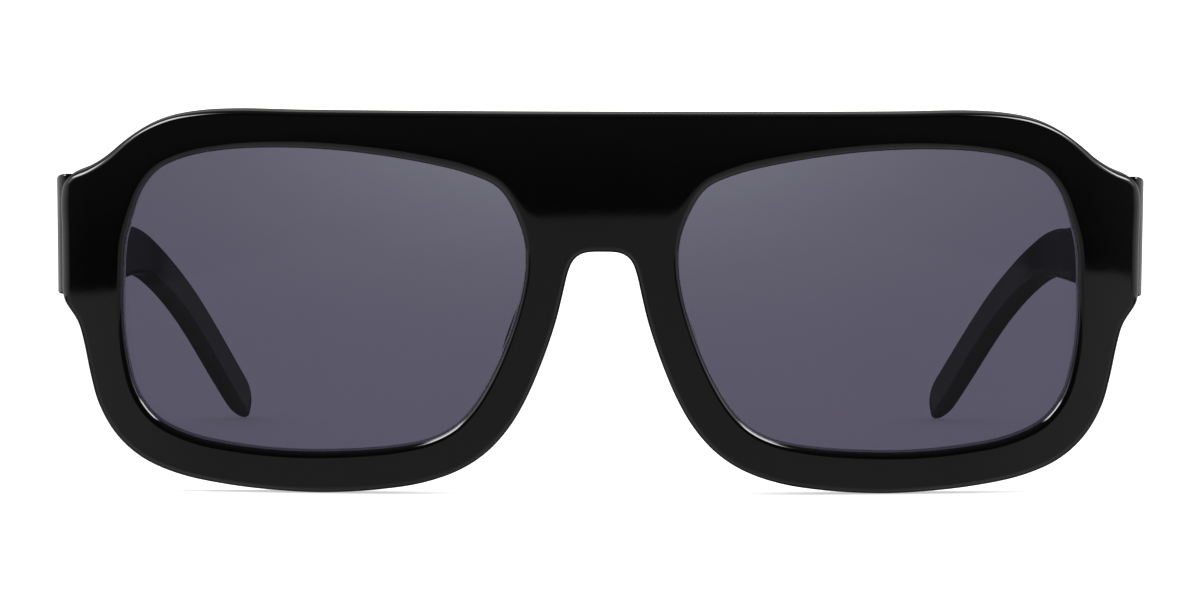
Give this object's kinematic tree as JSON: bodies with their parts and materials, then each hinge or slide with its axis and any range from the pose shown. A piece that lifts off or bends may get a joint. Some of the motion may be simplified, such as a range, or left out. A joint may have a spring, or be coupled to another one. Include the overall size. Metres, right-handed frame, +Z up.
{
  "type": "sunglasses",
  "caption": "Chunky flat-top sunglasses with a curved black acetate front, tinted lenses in grooves, built-up nose pads and temples that fold on five-barrel hinges.",
  "frame": {"origin": "On the surface the glasses rest on, under the middle of the whole open object: halfway across, and halfway from the foremost line of the front to the temple tips.", "axes": "+Z up. The lenses face -Y, the temples run to +Y. +X is the wearer's left."},
  "size_m": [0.148, 0.1521, 0.0516],
  "materials": {
    "black_acetate": "tumble-polished, glossy",
    "tinted_lens": "polished, grey-violet tint",
    "hinge_steel": "satin, nickel silver colour",
    "core_steel": "drawn wire",
    "screw_steel": "turned and slotted"
  },
  "bodies": {
    "front": {"front_frame": "black_acetate", "lens_right": "tinted_lens", "lens_left": "tinted_lens", "nose_pad_right": "black_acetate", "nose_pad_left": "black_acetate", "front_hinge_leaf_right": "hinge_steel", "front_hinge_leaf_left": "hinge_steel", "hinge_screw_right": "screw_steel", "hinge_screw_left": "screw_steel", "front_leaf_screws_right": "screw_steel", "front_leaf_screws_left": "screw_steel"},
    "right_temple": {"temple_right": "black_acetate", "core_wire_right": "core_steel", "temple_hinge_leaf_right": "hinge_steel", "temple_leaf_screws_right": "screw_steel"},
    "left_temple": {"temple_left": "black_acetate", "core_wire_left": "core_steel", "temple_hinge_leaf_left": "hinge_steel", "temple_leaf_screws_left": "screw_steel"}
  },
  "joints": [
    {"name": "left_temple_fold", "type": "hinge", "parent": "front", "child": "left_temple", "pos_m": [0.0673, -0.05922, 0.03521], "axis": [0, -0.0872, 0.9962], "range_deg": [0, 88]},
    {"name": "right_temple_fold", "type": "hinge", "parent": "front", "child": "right_temple", "pos_m": [-0.0673, -0.05922, 0.03521], "axis": [0, 0.0872, -0.9962], "range_deg": [0, 82]}
  ]
}
